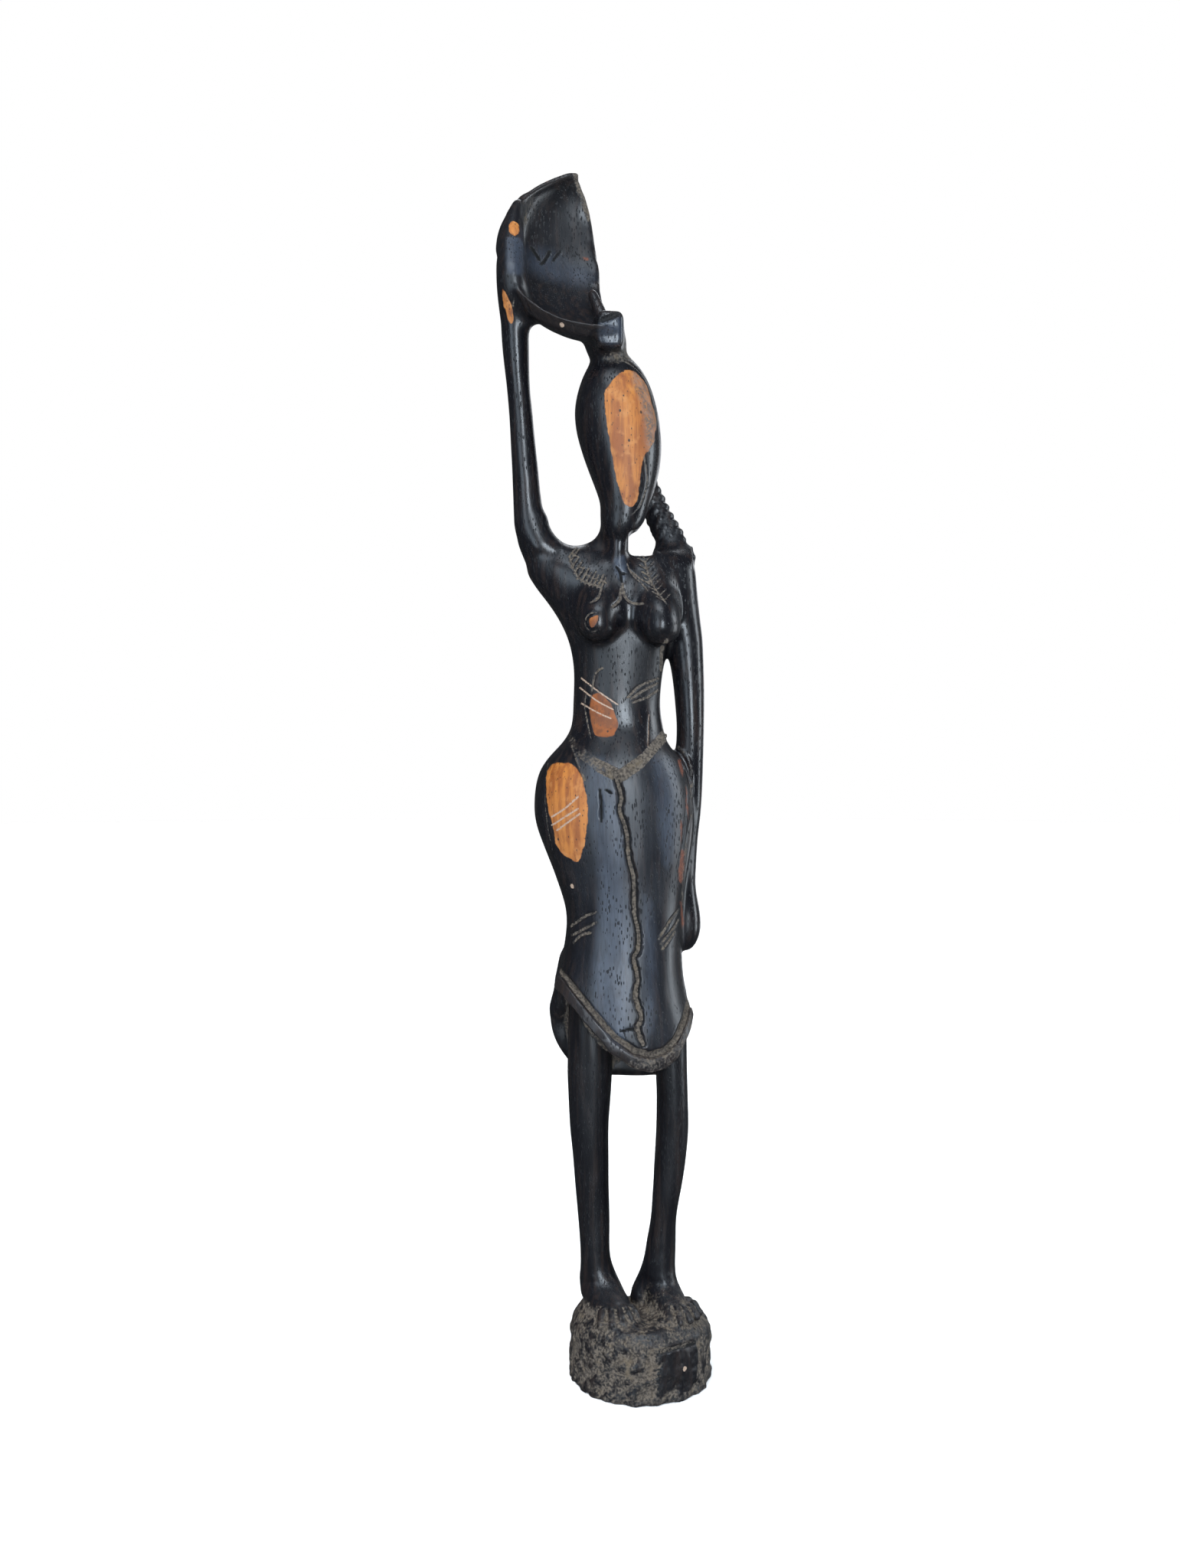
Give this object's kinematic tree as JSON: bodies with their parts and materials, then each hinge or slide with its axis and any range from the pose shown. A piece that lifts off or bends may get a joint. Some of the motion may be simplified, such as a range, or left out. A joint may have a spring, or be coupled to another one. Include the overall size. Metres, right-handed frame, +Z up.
{
  "type": "carved standing figure",
  "caption": "Slender carved ebony figure of a standing woman in a wrapped skirt, an arm raised to steady a broken dish on her head, on a round plinth.",
  "frame": {"origin": "middle of the plinth's flat underside", "axes": "+Z up along the figure, the figure faces -Y, and her left side is towards +X"},
  "size_m": [0.0699, 0.0452, 0.396],
  "materials": {
    "ebony_polished": "waxed satin black, with bare orange-brown sapwood in patches on the face, belly and hip",
    "ebony_rough": "rough tool-marked black wood with grey-brown dust in its cuts"
  },
  "bodies": {
    "root": {"plinth": "ebony_rough", "right_foot": "ebony_rough", "left_foot": "ebony_rough", "right_leg": "ebony_polished", "left_leg": "ebony_polished", "skirt": "ebony_polished", "skirt_back": "ebony_polished", "skirt_hem": "ebony_rough", "waistband": "ebony_rough", "torso": "ebony_polished", "neck": "ebony_polished", "head": "ebony_polished", "hair_plait": "ebony_rough", "raised_arm": "ebony_polished", "raised_hand": "ebony_polished", "hanging_arm": "ebony_polished", "hanging_hand": "ebony_polished", "dish_foot": "ebony_polished", "bowl": "ebony_polished"}
  },
  "joints": []
}
